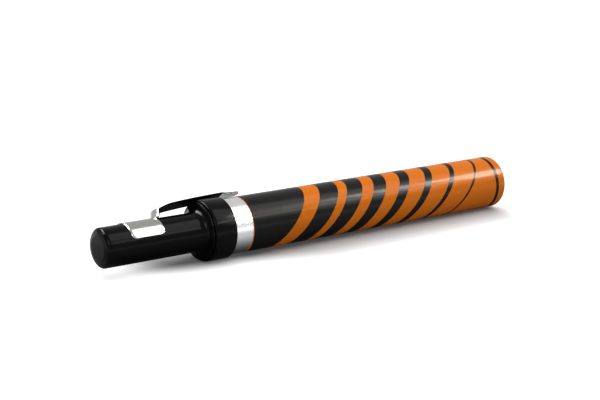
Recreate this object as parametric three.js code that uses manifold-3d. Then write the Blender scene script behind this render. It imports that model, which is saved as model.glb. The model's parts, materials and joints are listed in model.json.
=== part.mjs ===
// A valve-action marker pen that lies on its side with its cap on.
// It is drawn along X with the cap towards -X, then leaned until it rests on the cap's skirt
// and on the barrel's rear edge. The clip is rolled towards +Y.
import * as THREE from 'three';
import { mergeVertices } from 'three/addons/utils/BufferGeometryUtils.js';
import Module from 'manifold-3d';

const wasm = await Module();
wasm.setup();

// Sizes are in millimetres, and radii reach the middle of a facet.
// The valve and the barrel, from the stem outwards
const stemRadius = 1.3;
const stemGap = 0.4;
const springWire = 0.5;
const headLip = 0.6;
const flowGap = 1.2;
const cageWall = 0.8;
const cageGap = 0.2;
const plugWall = 2;
const plugGap = 0.2;
const barrelWall = 0.45;
const sleeveGap = 0.15;
const sleeveWall = 0.2;

// The nib and the cap's nose, from the nib outwards
const nibRadius = 2.25;
const nibGap = 0.2;
const tubeWall = 1.05;
const sealGap = 0.2;
const linerWall = 0.7;
const linerGap = 0.2;
const wallUnderClip = 0.6;
const clipGap = 0.2;
const clipThickness = 0.45;
const clipProud = 0.25;

// The cap, from its front face to its rear edge
const noseLength = 28.5;
const noseEdge = 0.9;
const flareLength = 4.35;
const flareRise = 1.55;
const lipWidth = 0.15;
const grooveWidth = 0.35;
const grooveDepth = 0.25;
const skirtLength = 6.15;
const skirtWall = 0.6;
const skirtGap = 0.15;
const skirtEdge = 0.3;
const shoulderRound = 0.85;
const shoulderLength = 1.5;
const capEndWall = 1.2;
const neckWall = 1;
const seatWall = 1.1;

// The clip
const clipRoll = THREE.MathUtils.degToRad(35);
const saddleFront = 8.6;
const saddleLength = 10.4;
const saddleCorner = 1;
const saddleWrap = THREE.MathUtils.degToRad(98);
const ridgeWidth = 1.2;
const ridgeSlope = 0.4;
const splitGap = 0.3;
const notchLength = 1.5;
const notchSide = THREE.MathUtils.degToRad(4);
const armBend = 0.9;
const armSteepness = THREE.MathUtils.degToRad(60);
const armRise = 2;
const armBow = 0.1;
const armGap = 0.25;
const armRootWidth = 6.2;
const armSeatWidth = 5.4;
const armSeatInset = 0.4;
const tipReach = 8.1;
const tipWidth = 2.8;
const tipEndWidth = 1.9;
const tipNarrowing = 2.6;
const tipLift = 0.55;

// What is inside the cap and the barrel, along the pen
const linerEndWall = 0.8;
const tipRoom = 4.8;
const nibShowing = 5.1;
const nibInset = 2;
const nibShoulder = 2.6;
const linerGrip = 5;
const tubeEdge = 0.4;
const coneGap = 0.4;
const seatGap = 0.3;
const faceGap = 0.2;
const flangeWidth = 1;
const flangeInset = 0.1;
const gasketWidth = 0.6;
const chamberPlace = 3.2;
const valveSeatWidth = 1.2;
const pinRadius = 1.4;
const pinGap = 0.5;
const contactGap = 0.3;
const plungerSealWidth = 0.7;
const headWidth = 1.2;
const nibStroke = 1.8;
const stemRoom = 1.5;
const springLength = 6.4;
const springTurns = 6;
const cageEndWall = 1;
const cageHole = 1.5;
const cageGrip = 3;
const cageFlangeWidth = 0.8;
const cageStandOut = 1.5;
const cageFlangeInset = 0.4;

// The barrel
const bandLength = 5.8;
const sleeveLength = 97.5;
const barrelEdge = 1.2;
const barrelEndWall = 0.9;
const mouthEdge = 0.2;
const ballRadius = 2.4;
const ballGap = 0.15;

const roundSides = 36;
const smallSides = 24;
const wireSides = 5;
const stepsPerCurl = 8;
const bendSteps = 4;
const bowSteps = 5;
const armColumns = 6;
const rampCurl = 0.6;
const tipRounding = THREE.MathUtils.degToRad(80);

// Radii that follow from the sizes
const springInner = stemRadius + stemGap;
const springOuter = springInner + springWire;
const headRadius = springOuter + headLip;
const cageInner = headRadius + flowGap;
const cageOuter = cageInner + cageWall;
const chamberRadius = cageOuter + cageGap;
const plugRadius = chamberRadius + plugWall;
const barrelBore = plugRadius + plugGap;
const barrelCore = barrelBore + barrelWall;
const sleeveBore = barrelCore + sleeveGap;
const barrelRadius = sleeveBore + sleeveWall;
const nibBore = nibRadius + nibGap;
const tubeRadius = nibBore + tubeWall;
const linerInner = tubeRadius + sealGap;
const linerOuter = linerInner + linerWall;
const noseBore = linerOuter + linerGap;
const pocketFloor = noseBore + wallUnderClip;
const saddleInner = pocketFloor + clipGap;
const saddleOuter = saddleInner + clipThickness;
const noseRadius = saddleOuter - clipProud;
const flareRadius = noseRadius + flareRise;
const grooveRadius = flareRadius - grooveDepth;
const neckRadius = grooveRadius - neckWall;
const skirtBore = barrelRadius + skirtGap;
const skirtRadius = skirtBore + skirtWall;
const shoulderRadius = skirtRadius - shoulderRound;
const sealHole = pinRadius + pinGap;

// Places along the pen that follow from the sizes
const lipPlace = noseLength + flareLength;
const groovePlace = lipPlace + lipWidth;
const shoulderPlace = groovePlace + grooveWidth;
const capLength = shoulderPlace + skirtLength;
const capSeat = shoulderPlace + seatWall;
const saddleRear = saddleFront + saddleLength;
const linerFront = capEndWall + seatGap;
const nibTip = linerFront + linerEndWall + tipRoom;
const tubeFront = nibTip + nibShowing;
const flangeFront = capSeat + seatGap;
const flangeRear = flangeFront + flangeWidth;
const gasketFront = flangeRear + faceGap;
const barrelMouth = gasketFront + gasketWidth + faceGap;
const chamberFront = flangeRear + chamberPlace;
const nibRear = chamberFront - nibInset;
const pinFront = nibRear + contactGap;
const valveSeatFront = chamberFront + faceGap;
const plungerSealFront = valveSeatFront + valveSeatWidth + faceGap;
const headFront = plungerSealFront + plungerSealWidth + faceGap;
const headRear = headFront + headWidth;
const springFront = headRear + faceGap;
const cageFloor = springFront + springLength + faceGap;
const cageRear = cageFloor + cageEndWall;
const cageFlangeFront = cageRear - cageStandOut - cageFlangeWidth;
const holderRear = cageFlangeFront - faceGap;
const stemRear = cageFloor - nibStroke - stemRoom;
const sleeveFront = capLength + bandLength;
const penLength = sleeveFront + sleeveLength;
const edgePlace = penLength - barrelEdge;
const edgeRadius = barrelRadius - barrelEdge;

const lean = Math.atan2(skirtRadius - barrelRadius, edgePlace - (capLength - skirtEdge));

function finish(color, roughness, metalness) {
  return new THREE.MeshStandardMaterial({ color, roughness, metalness });
}

const blackPlastic = finish(0x141414, 0.35, 0);
const palePlastic = finish(0xe8e6de, 0.5, 0);
const clearPlastic = finish(0xcfd4d6, 0.45, 0);
const steel = finish(0xc9cac6, 0.3, 1);
const aluminium = finish(0xd4d7d9, 0.35, 1);
const orangeLacquer = finish(0xe07a1c, 0.25, 0.1);
const darkRubber = finish(0x2a2a2c, 0.8, 0);
const inkedFibre = finish(0x1b1a1c, 0.95, 0);
const springSteel = finish(0xa9acb0, 0.3, 1);
const bearingSteel = finish(0xdfe1e3, 0.12, 1);

function place(name, geometry, material, along = 0) {
  const mesh = new THREE.Mesh(geometry, material);
  mesh.name = name;
  mesh.position.x = along;
  return mesh;
}

// Points on a quarter of an ellipse about a place and a radius, in degrees
function bend(along, radius, length, height, from, to, steps = 4) {
  const points = [];
  for (let i = 0; i <= steps; i += 1) {
    const turn = THREE.MathUtils.degToRad(from + ((to - from) * i) / steps);
    points.push([along + length * Math.cos(turn), radius + height * Math.sin(turn)]);
  }
  return points;
}

// Turns an outline of places and radii round the X axis, with one facet straight down
function revolve(outline, sides = roundSides) {
  const halfStep = Math.PI / sides;
  const points = outline.map(([along, radius]) => new THREE.Vector2(radius / Math.cos(halfStep), along));
  const turned = new THREE.LatheGeometry(points, sides, halfStep).rotateZ(-Math.PI / 2);
  return sides === roundSides ? widenLowest(turned, halfStep) : turned;
}

// The lowest facet is twice as wide as the others, so that the round pen lies still on it
function widenLowest(turned, halfStep) {
  const points = turned.attributes.position;
  for (let i = 0; i < points.count; i += 1) {
    const fromLowest = Math.atan2(Math.abs(points.getY(i)), -points.getZ(i));
    const isCorner = fromLowest < 2 * halfStep && Math.abs(points.getY(i)) > 0;
    if (isCorner) points.setY(i, -Math.sign(points.getY(i)) * points.getZ(i) * Math.tan(2 * halfStep));
  }
  return turned;
}

function ring(inner, outer, width, sides) {
  return revolve([[0, inner], [0, outer], [width, outer], [width, inner], [0, inner]], sides);
}

// A closed body between two grids of points, one over the other
function slab(top, bottom) {
  const columns = top[0].length;
  const last = top.length - 1;
  const under = top.length * columns;
  const faces = [];
  const quad = (a, b, c, d) => faces.push(a, c, b, a, d, c);
  for (let row = 0; row < last; row += 1) {
    const start = row * columns;
    const end = start + columns - 1;
    for (let here = start; here < end; here += 1) {
      const next = here + columns;
      quad(here, here + 1, next + 1, next);
      quad(under + here, under + next, under + next + 1, under + here + 1);
    }
    quad(start, start + columns, under + start + columns, under + start);
    quad(end, under + end, under + end + columns, end + columns);
  }
  for (let here = 0; here < columns - 1; here += 1) {
    const far = here + last * columns;
    quad(here, under + here, under + here + 1, here + 1);
    quad(far, far + 1, under + far + 1, under + far);
  }
  const points = [...top.flat(), ...bottom.flat()];
  return new THREE.BufferGeometry().setFromPoints(points).setIndex(faces);
}

function toSolid(geometry) {
  const bare = geometry.clone();
  bare.deleteAttribute('normal');
  bare.deleteAttribute('uv');
  const merged = mergeVertices(bare);
  const faces = [];
  for (let i = 0; i < merged.index.count; i += 3) {
    const corners = [0, 1, 2].map((k) => merged.index.getX(i + k));
    if (new Set(corners).size === 3) faces.push(...corners);
  }
  const vertProperties = merged.attributes.position.array;
  return new wasm.Manifold(new wasm.Mesh({ numProp: 3, vertProperties, triVerts: Uint32Array.from(faces) }));
}

function toGeometry(solid) {
  const mesh = solid.getMesh();
  const geometry = new THREE.BufferGeometry();
  geometry.setAttribute('position', new THREE.BufferAttribute(mesh.vertProperties, 3));
  return geometry.setIndex(new THREE.BufferAttribute(mesh.triVerts, 1));
}

// A point on the faceted nose, with the angle counted from the clip's middle
function onNose(along, radius, angle) {
  const facet = (2 * Math.PI) / roundSides;
  const fromMiddle = angle - (Math.floor(angle / facet) + 0.5) * facet;
  const reach = radius / Math.cos(fromMiddle);
  return new THREE.Vector3(along, -reach * Math.sin(angle), reach * Math.cos(angle));
}

// Angles across the nose at its facet edges, with closer ones where the corners are rounded
function wrapAngles(wrap, corner, radius) {
  const facet = (2 * Math.PI) / roundSides;
  const bends = corner > 0 ? [0, 30, 60, 90] : [0];
  const ends = bends.map((turn) => wrap - (corner / radius) * (1 - Math.cos(THREE.MathUtils.degToRad(turn))));
  const middle = [];
  const limit = Math.min(...ends) - facet / 8;
  for (let angle = 0; angle < limit; angle += facet) middle.push(angle);
  const oneSide = [...middle, ...ends.sort((a, b) => a - b)];
  return [...oneSide.slice(1).reverse().map((angle) => -angle), ...oneSide];
}

// How far an edge draws in at a rounded corner
function cornerInset(angle, wrap, corner, radius) {
  const fromEnd = (wrap - Math.abs(angle)) * radius;
  const across = Math.max(0, corner - fromEnd);
  return corner - Math.sqrt(Math.max(0, corner * corner - across * across));
}

// A band wrapped on the nose; its outer face runs through the places and radii given
function wrapBand(outer, inner, wrap, corner) {
  const radius = outer[0][1];
  const angles = wrapAngles(wrap, corner, radius);
  const last = outer.length - 1;
  const grid = (lift) => angles.map((angle) => outer.map(([along, reach], i) => {
    const inset = cornerInset(angle, wrap, corner, radius);
    const shift = i === 0 ? inset : 0;
    const back = i === last ? inset : 0;
    return onNose(along + shift - back, lift ? reach : inner, angle);
  }));
  return slab(grid(true), grid(false));
}

function capOutline() {
  return [
    [0, 0],
    ...bend(noseEdge, noseRadius - noseEdge, noseEdge, noseEdge, 180, 90),
    ...bend(noseLength, flareRadius, flareLength, flareRise, -90, -12, 6),
    [lipPlace, flareRadius],
    [groovePlace, flareRadius],
    [groovePlace, grooveRadius],
    [shoulderPlace, grooveRadius],
    ...bend(shoulderPlace + shoulderLength, shoulderRadius, shoulderLength, shoulderRound, 180, 90),
    ...bend(capLength - skirtEdge, skirtRadius - skirtEdge, skirtEdge, skirtEdge, 90, 0, 2),
    [capLength, skirtBore],
    [capSeat, skirtBore],
    [capSeat, neckRadius],
    [noseLength, noseBore],
    [capEndWall, noseBore],
    [capEndWall, 0],
  ];
}

// The cap's shell, with a ridge in front of the clip's saddle and a pocket under it
function capShell() {
  const ridgeFront = saddleFront - clipGap - ridgeWidth;
  const pocketRear = saddleRear + clipGap;
  const pocketWrap = saddleWrap + clipGap / saddleInner;
  const overTop = saddleOuter + clipThickness;
  const tongueWrap = Math.asin(armRootWidth / 2 / saddleInner);
  const ridgeOutline = [
    [ridgeFront, noseRadius - ridgeSlope / 4],
    [ridgeFront + ridgeSlope, saddleOuter],
    [saddleFront, saddleOuter],
  ];
  const pocketOutline = [[saddleFront - clipGap, overTop], [pocketRear, overTop]];
  const notchOutline = [[pocketRear - clipGap, overTop], [saddleRear + splitGap + notchLength, overTop]];
  const ridge = wrapBand(ridgeOutline, pocketFloor - wallUnderClip / 2, pocketWrap, 0);
  const pocket = wrapBand(pocketOutline, pocketFloor, pocketWrap, 0);
  const notch = wrapBand(notchOutline, pocketFloor, tongueWrap + notchSide, 0);
  const [added, ...removed] = [ridge, pocket, notch].map((geometry) => toSolid(geometry.rotateX(-clipRoll)));
  const shell = toSolid(revolve(capOutline())).add(added);
  return toGeometry(removed.reduce((left, cutter) => left.subtract(cutter), shell));
}

function capLiner() {
  const length = tubeFront + linerGrip - linerFront;
  return revolve([
    [0, 0],
    [0, linerOuter - linerWall / 2],
    [linerWall / 2, linerOuter],
    [length, linerOuter],
    [length, linerInner + linerWall / 3],
    [length - linerWall, linerInner],
    [linerEndWall, linerInner],
    [linerEndWall, 0],
  ]);
}

function clipSaddle() {
  return wrapBand([[0, saddleOuter], [saddleLength, saddleOuter]], saddleInner, saddleWrap, saddleCorner);
}

// The arm's middle line is made of stations: a place, a height, a slope, a width and a curl.
// Its foot bends up out of the saddle and over again, and loses the saddle's curl on the way.
function addFoot(add, foot, footHeight) {
  const bendRise = armBend * (1 - Math.cos(armSteepness));
  const bendRun = armBend * Math.sin(armSteepness);
  const rampRun = (armRise - 2 * bendRise) / Math.tan(armSteepness);
  const rootPlace = foot + 2 * bendRun + rampRun;
  const rootHeight = footHeight + armRise;
  for (let i = 0; i <= bendSteps; i += 1) {
    const slope = (armSteepness * i) / bendSteps;
    const curl = 1 - ((1 - rampCurl) * i) / bendSteps;
    const height = footHeight + armBend * (1 - Math.cos(slope));
    add(foot + armBend * Math.sin(slope), height, slope, armRootWidth, curl);
  }
  for (let i = 0; i <= bendSteps; i += 1) {
    const slope = armSteepness * (1 - i / bendSteps);
    const curl = rampCurl * (1 - i / bendSteps);
    const height = rootHeight - armBend * (1 - Math.cos(slope));
    add(rootPlace - armBend * Math.sin(slope), height, slope, armRootWidth, curl);
  }
  return { rootPlace, rootHeight };
}

// The arm rises in a slight bow to the skirt's shoulder and runs flat over the skirt
function addArm(add, rootPlace, rootHeight, seatHeight) {
  const bowEnd = shoulderPlace + shoulderLength;
  const seatEnd = capLength - armSeatInset;
  const run = bowEnd - rootPlace;
  const rise = seatHeight - rootHeight;
  const widthAt = (along) => THREE.MathUtils.mapLinear(along, rootPlace, seatEnd, armRootWidth, armSeatWidth);
  for (let i = 1; i <= bowSteps; i += 1) {
    const t = i / bowSteps;
    const along = rootPlace + run * t;
    const height = rootHeight + rise * t + 4 * armBow * t * (1 - t);
    const slope = Math.atan((rise + 4 * armBow * (1 - 2 * t)) / run);
    add(along, height, slope, widthAt(along), 0);
  }
  add(seatEnd, seatHeight, 0, armSeatWidth, 0);
  return seatEnd;
}

// Past the skirt the arm narrows and ends in a lifted, rounded tip
function addTip(add, seatEnd, seatHeight) {
  const reach = capLength + tipReach - seatEnd;
  const endRadius = tipEndWidth / 2;
  const slope = Math.atan(tipLift / reach);
  const heightAt = (along) => seatHeight + (tipLift * along) / reach;
  for (let i = 1; i <= bendSteps; i += 1) {
    const t = i / bendSteps;
    const width = tipWidth + (armSeatWidth - tipWidth) * (0.5 + 0.5 * Math.cos(Math.PI * t));
    add(seatEnd + tipNarrowing * t, heightAt(tipNarrowing * t), slope, width, 0);
  }
  for (let i = 0; i < bendSteps; i += 1) {
    const turn = (tipRounding * i) / (bendSteps - 1);
    const along = reach - endRadius + endRadius * Math.sin(turn);
    add(seatEnd + along, heightAt(along), slope, tipEndWidth * Math.cos(turn), 0);
  }
}

function armStations() {
  const stations = [];
  const add = (along, height, slope, width, curl) => stations.push({ along, height, slope, width, curl });
  const footHeight = (saddleInner + saddleOuter) / 2;
  const seatHeight = skirtRadius + armGap + clipThickness / 2;
  const { rootPlace, rootHeight } = addFoot(add, saddleRear + splitGap, footHeight);
  const seatEnd = addArm(add, rootPlace, rootHeight, seatHeight);
  addTip(add, seatEnd, seatHeight);
  return stations;
}

// The arm is a strip: curled like the saddle at its foot and flat above its bend
function clipArm() {
  const middleRadius = (saddleInner + saddleOuter) / 2;
  const grid = (side) => armStations().map(({ along, height, slope, width, curl }) => {
    const row = [];
    for (let i = 0; i <= armColumns; i += 1) {
      const across = width * (i / armColumns - 0.5);
      const sag = curl * (middleRadius - Math.sqrt(middleRadius ** 2 - across ** 2));
      const lift = (side * clipThickness) / 2 - sag;
      row.push(new THREE.Vector3(along - lift * Math.sin(slope), across, height + lift * Math.cos(slope)));
    }
    return row;
  });
  return slab(grid(1), grid(-1));
}

function nibHolder() {
  const coneEnd = neckRadius - coneGap;
  const coneFront = noseLength + coneGap;
  return revolve([
    [tubeFront, nibBore],
    [tubeFront, tubeRadius - tubeEdge],
    [tubeFront + tubeEdge, tubeRadius],
    [coneFront, tubeRadius],
    [flangeFront, coneEnd],
    [flangeFront, barrelRadius - flangeInset],
    [flangeRear, barrelRadius - flangeInset],
    [flangeRear, plugRadius],
    [holderRear, plugRadius],
    [holderRear, chamberRadius],
    [chamberFront, chamberRadius],
    [chamberFront, nibBore],
    [tubeFront, nibBore],
  ]);
}

function nib() {
  const chamfer = nibRadius / 4;
  return revolve([
    ...bend(nibTip + nibShoulder, 0, nibShoulder, nibRadius, 180, 90, 6),
    [nibRear - chamfer, nibRadius],
    [nibRear, nibRadius - chamfer],
    [nibRear, 0],
  ], smallSides);
}

function valvePlunger() {
  return revolve([
    [pinFront, 0],
    [pinFront, pinRadius],
    [headFront, pinRadius],
    [headFront, headRadius],
    [headRear, headRadius],
    [headRear, stemRadius],
    [stemRear, stemRadius],
    [stemRear, 0],
  ], smallSides);
}

function springCage() {
  const flangeRadius = plugRadius - cageFlangeInset;
  const flangeBack = cageFlangeFront + cageFlangeWidth;
  return revolve([
    [holderRear - cageGrip, cageInner],
    [holderRear - cageGrip, cageOuter],
    [cageFlangeFront, cageOuter],
    [cageFlangeFront, flangeRadius],
    [flangeBack, flangeRadius],
    [flangeBack, cageOuter],
    [cageRear, cageOuter],
    [cageRear, cageHole],
    [cageFloor, cageHole],
    [cageFloor, cageInner],
    [holderRear - cageGrip, cageInner],
  ], smallSides);
}

class Helix extends THREE.Curve {
  getPoint(t, target = new THREE.Vector3()) {
    const turn = 2 * Math.PI * springTurns * t;
    const radius = springInner + springWire / 2;
    const along = springWire / 2 + (springLength - springWire) * t;
    return target.set(along, radius * Math.cos(turn), radius * Math.sin(turn));
  }
}

function valveSpring() {
  const section = new THREE.Shape();
  for (let i = 0; i < wireSides; i += 1) {
    const turn = (2 * Math.PI * i) / wireSides;
    const point = [(springWire / 2) * Math.cos(turn), (springWire / 2) * Math.sin(turn)];
    if (i === 0) section.moveTo(...point);
    else section.lineTo(...point);
  }
  const steps = springTurns * stepsPerCurl;
  return new THREE.ExtrudeGeometry(section, { steps, extrudePath: new Helix(), curveSegments: 1 });
}

// A drawn can: bare at its mouth, with a step where the print starts and a closed rear end
function barrel() {
  const coreEdge = barrelCore - edgeRadius;
  const inside = penLength - barrelEndWall;
  const insideEdge = coreEdge - barrelWall;
  return revolve([
    [barrelMouth, barrelBore],
    [barrelMouth, barrelRadius - mouthEdge],
    [barrelMouth + mouthEdge, barrelRadius],
    [sleeveFront - sleeveGap, barrelRadius],
    [sleeveFront - sleeveGap, barrelCore],
    ...bend(edgePlace, edgeRadius, coreEdge, coreEdge, 90, 0, 3),
    [edgePlace + coreEdge, edgeRadius - sleeveGap],
    [penLength, edgeRadius - sleeveGap],
    [penLength, 0],
    [inside, 0],
    [inside, barrelBore - insideEdge],
    [inside - insideEdge, barrelBore],
    [barrelMouth, barrelBore],
  ]);
}

function printedSleeve() {
  const boreEdge = sleeveBore - edgeRadius;
  return revolve([
    [sleeveFront, sleeveBore],
    [sleeveFront, barrelRadius],
    ...bend(edgePlace, edgeRadius, barrelEdge, barrelEdge, 90, 0, 4),
    ...bend(edgePlace, edgeRadius, boreEdge, boreEdge, 0, 90, 4),
    [sleeveFront, sleeveBore],
  ]);
}

const clip = new THREE.Group();
clip.rotation.x = -clipRoll;
clip.add(
  place('clip_saddle', clipSaddle(), steel, saddleFront),
  place('clip_arm', clipArm(), steel),
);

const mixingBall = place('mixing_ball', new THREE.SphereGeometry(ballRadius, 16, 12), bearingSteel);
mixingBall.position.x = penLength - barrelEndWall - seatGap - ballRadius;
mixingBall.position.z = ballRadius + ballGap - barrelBore;

const mouthGasket = ring(plugRadius + plugGap, barrelRadius - flangeInset, gasketWidth);
const valveSeat = ring(sealHole, chamberRadius - cageGap, valveSeatWidth, smallSides);
const plungerSeal = ring(pinRadius + plugGap, headRadius - headLip / 4, plungerSealWidth, smallSides);
const laidPen = new THREE.Group();
laidPen.rotation.y = lean;
laidPen.add(
  clip,
  place('cap_shell', capShell(), blackPlastic),
  place('cap_liner', capLiner(), clearPlastic, linerFront),
  place('nib', nib(), inkedFibre),
  place('nib_holder', nibHolder(), palePlastic),
  place('mouth_gasket', mouthGasket, darkRubber, gasketFront),
  place('valve_seat', valveSeat, darkRubber, valveSeatFront),
  place('valve_plunger', valvePlunger(), palePlastic),
  place('plunger_seal', plungerSeal, darkRubber, plungerSealFront),
  place('valve_spring', valveSpring(), springSteel, springFront),
  place('spring_cage', springCage(), clearPlastic),
  mixingBall,
  place('barrel', barrel(), aluminium),
  place('printed_sleeve', printedSleeve(), orangeLacquer),
);

// The origin is under the middle of the whole pen, on the surface that it lies on
const markerPen = new THREE.Group();
markerPen.add(laidPen);
laidPen.updateMatrixWorld(true);
const extent = new THREE.Box3().setFromObject(laidPen, true);
const middle = extent.getCenter(new THREE.Vector3());
laidPen.position.set(-middle.x, -middle.y, -extent.min.z);

export default markerPen;
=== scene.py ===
import json
import math

import bmesh
import bpy
from mathutils import Matrix, Vector


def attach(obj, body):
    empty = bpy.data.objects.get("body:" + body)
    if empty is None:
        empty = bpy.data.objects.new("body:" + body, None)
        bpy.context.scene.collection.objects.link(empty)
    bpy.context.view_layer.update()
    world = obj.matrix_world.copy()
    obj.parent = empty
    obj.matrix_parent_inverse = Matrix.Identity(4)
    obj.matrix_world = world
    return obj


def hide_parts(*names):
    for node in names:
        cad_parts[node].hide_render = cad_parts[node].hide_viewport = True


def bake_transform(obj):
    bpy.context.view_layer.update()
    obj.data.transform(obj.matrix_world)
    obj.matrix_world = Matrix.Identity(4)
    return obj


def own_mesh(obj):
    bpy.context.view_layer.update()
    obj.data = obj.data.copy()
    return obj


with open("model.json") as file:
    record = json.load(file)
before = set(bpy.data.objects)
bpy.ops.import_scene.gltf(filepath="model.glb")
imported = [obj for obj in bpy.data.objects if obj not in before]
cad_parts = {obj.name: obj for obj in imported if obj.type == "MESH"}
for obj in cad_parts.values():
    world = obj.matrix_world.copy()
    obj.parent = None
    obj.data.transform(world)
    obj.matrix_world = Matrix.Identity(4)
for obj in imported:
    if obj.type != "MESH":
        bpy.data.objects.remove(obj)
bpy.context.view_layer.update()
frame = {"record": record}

# Pieces are drawn in millimetres in the pen's own space: X from the cap's front face along the
# pen, Y as in the frame and Z up. Turns are degrees from the top towards -Y, the camera's side.
mounts = {mount["name"]: mount for mount in frame["record"]["mounts"]}
alongPen = Vector(mounts["barrel_end"]["axis"]).normalized()
acrossPen = Vector((0, 1, 0))
abovePen = alongPen.cross(acrossPen)
penSpace = Matrix.Translation(mounts["cap_end"]["pos_m"]) @ Matrix(
    (alongPen, acrossPen, abovePen)).transposed().to_4x4() @ Matrix.Scale(0.001, 4)
clipRoll = -35  # the turn of the clip's middle


def onPen(along, radius, turn):
    angle = math.radians(turn)
    return Vector((along, -radius * math.sin(angle), radius * math.cos(angle)))


def smoothStep(value):
    value = min(1, max(0, value))
    return value * value * (3 - 2 * value)


def lerp(start, end, share):
    return start + (end - start) * share


# The shares at which a length is cut into equal steps, without its start.
def cuts(count):
    return [i / count for i in range(1, count + 1)]


def toObject(name, points, faces):
    mesh = bpy.data.meshes.new(name)
    mesh.from_pydata([tuple(point) for point in points], [], faces)
    made = bpy.data.objects.new(name, mesh)
    bpy.context.scene.collection.objects.link(made)
    return made


def addModifier(made, kind, **settings):
    modifier = made.modifiers.new(kind.lower(), kind)
    for key, value in settings.items():
        setattr(modifier, key, value)
    return modifier


def applyModifiers(made):
    depsgraph = bpy.context.evaluated_depsgraph_get()
    finished = bpy.data.meshes.new_from_object(made.evaluated_get(depsgraph))
    made.modifiers.clear()
    made.data = finished


def turnOut(made, mergeDistance=0):
    work = bmesh.new()
    work.from_mesh(made.data)
    if mergeDistance:
        bmesh.ops.remove_doubles(work, verts=work.verts, dist=mergeDistance)
    bmesh.ops.recalc_face_normals(work, faces=work.faces)
    work.to_mesh(made.data)
    work.free()


def mergeAndTurnOut(made, sharpAngle=35):
    turnOut(made, mergeDistance=0.0005)
    made.data.shade_smooth()
    made.data.set_sharp_from_angle(angle=math.radians(sharpAngle))


# Puts a finished piece in the frame, in its slot's finish or in one of its own.
def settle(made, body, slot, nodes=(), finish=None):
    made.data.transform(penSpace)
    made.data.materials.clear()
    made.data.materials.append(finish or materials[slot])
    made.data.update()
    if body:
        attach(made, body)
    if nodes:
        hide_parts(*nodes)


# A bend takes up to this share of each side, and its arc lies between points this much further out.
bendRules = {"longest": 0.45, "guard": 1.08}


# An outline of places, radii and corner radii, with each corner an arc between two close points.
def rounded(outline, steps=5):
    closed = outline[0][:2] == outline[-1][:2]
    corners = outline[:-1] if closed else outline
    count = len(corners)
    points = []
    for i, (along, radius, bend) in enumerate(corners):
        here = Vector((along, radius))
        if bend == 0 or (not closed and i in (0, count - 1)):
            points.append(here)
            continue
        back = Vector(corners[i - 1][:2]) - here
        ahead = Vector(corners[(i + 1) % count][:2]) - here
        half = back.angle(ahead) / 2
        longest = min(back.length, ahead.length) * bendRules["longest"]
        reach = min(bend / math.tan(half), longest)
        bend = reach * math.tan(half)
        back.normalize()
        ahead.normalize()
        centre = here + (back + ahead).normalized() * bend / math.sin(half)
        first = here + back * reach - centre
        last = here + ahead * reach - centre
        sweep = math.atan2(first.x * last.y - first.y * last.x, first.dot(last))
        points.append(here + back * reach * bendRules["guard"])
        for step in range(steps + 1):
            angle = sweep * step / steps
            points.append(centre + Vector((
                first.x * math.cos(angle) - first.y * math.sin(angle),
                first.x * math.sin(angle) + first.y * math.cos(angle))))
        points.append(here + ahead * reach * bendRules["guard"])
    if closed:
        points.append(points[0])
    return points


# Points on a part of an ellipse, in degrees.
def ellipse(along, radius, length, height, start, end, steps):
    points = []
    for step in range(steps + 1):
        angle = math.radians(lerp(start, end, step / steps))
        points.append((along + length * math.cos(angle), radius + height * math.sin(angle)))
    return points


def evenTurns(count):
    return [360 * i / count for i in range(count)]


# Turns an outline round the pen's axis. shape(row, along, turn) lifts points off the outline.
def revolve(name, outline, turns, shape=None):
    points, rings = [], []
    for row, (along, radius) in enumerate(outline):
        if radius < 1e-6:
            rings.append([len(points)] * len(turns))
            points.append(onPen(along, 0, 0))
            continue
        rings.append(range(len(points), len(points) + len(turns)))
        for turn in turns:
            lift = shape(row, along, turn) if shape else 0
            points.append(onPen(along, radius + lift, turn))
    faces = []
    for near, far in zip(rings, rings[1:]):
        for i in range(len(turns)):
            j = (i + 1) % len(turns)
            face = list(dict.fromkeys([near[i], far[i], far[j], near[j]]))
            if len(face) > 2:
                faces.append(face)
    made = toObject(name, points, faces)
    mergeAndTurnOut(made)
    return made


# A plain turned piece in place of its node.
def turnPiece(name, node, body, slot, outline, turnCount=96):
    settle(revolve(name, outline, evenTurns(turnCount)), body, slot, [node])


# Materials

# Sets or links a node's inputs. A node as a value stands for its first output.
def setInputs(node, inputs):
    for key, value in inputs.items():
        if isinstance(value, bpy.types.Node):
            value = value.outputs[0]
        if isinstance(value, bpy.types.NodeSocket):
            node.id_data.links.new(value, node.inputs[key])
        else:
            node.inputs[key].default_value = value


def addNode(tree, kind, inputs=None, **settings):
    node = tree.nodes.new(kind)
    for key, value in settings.items():
        setattr(node, key, value)
    setInputs(node, inputs or {})
    return node


# A tree, the values it is given and its output node, from the kinds of its named sockets.
def newTree(name, kind, inputs, outputs):
    tree = bpy.data.node_groups.new(name, kind)
    for side, sockets in (("INPUT", inputs), ("OUTPUT", outputs)):
        for label, socketKind in sockets.items():
            tree.interface.new_socket(name=label, in_out=side, socket_type="NodeSocket" + socketKind)
    return tree, addNode(tree, "NodeGroupInput").outputs, addNode(tree, "NodeGroupOutput")


# A tree's math, as a function of an operation and its values.
def mathIn(tree):
    def calculate(operation, first, second=0.0):
        return addNode(tree, "ShaderNodeMath", {0: first, 1: second}, operation=operation)

    return calculate


def noise(tree, place, scale, detail, roughness=0.5, distortion=0.0):
    return addNode(tree, "ShaderNodeTexNoise", {
        "Vector": place, "Scale": scale, "Detail": detail,
        "Roughness": roughness, "Distortion": distortion}).outputs["Fac"]


# How far a value has come from low to high.
def mask(tree, value, low, high):
    return addNode(tree, "ShaderNodeMapRange", {"Value": value, "From Min": low, "From Max": high})


# A value that runs from low to high with a share.
def between(tree, share, low, high):
    return addNode(tree, "ShaderNodeMapRange", {"Value": share, "To Min": low, "To Max": high})


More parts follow.
